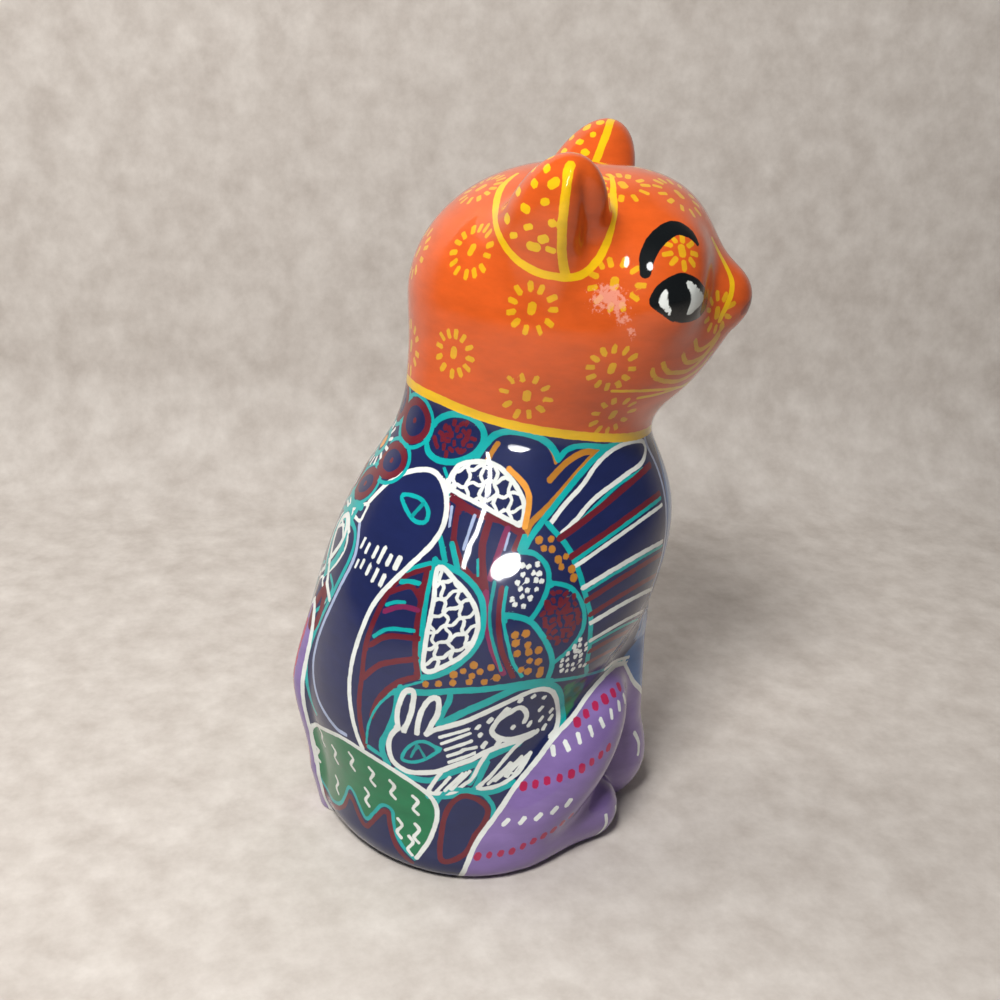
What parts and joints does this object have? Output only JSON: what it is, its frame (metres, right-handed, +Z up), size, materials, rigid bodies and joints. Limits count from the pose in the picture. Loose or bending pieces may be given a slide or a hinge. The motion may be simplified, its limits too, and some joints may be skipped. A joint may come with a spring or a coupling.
{
  "type": "painted clay cat figurine",
  "caption": "Seated clay cat with its head turned to one side, low-relief legs and tail, a flat underside, and bright folk painting under clear varnish.",
  "frame": {"origin": "on the surface it stands on, under the middle of the figurine's bounding box", "axes": "+Z up; the body faces -Y and its right side is at -X; the head is turned about 27 degrees to its right"},
  "size_m": [0.0827, 0.0996, 0.1622],
  "materials": {
    "painted_clay": "hand-painted clay under a gloss clear varnish"
  },
  "bodies": {
    "root": {"cat_figurine": "painted_clay"}
  },
  "joints": []
}
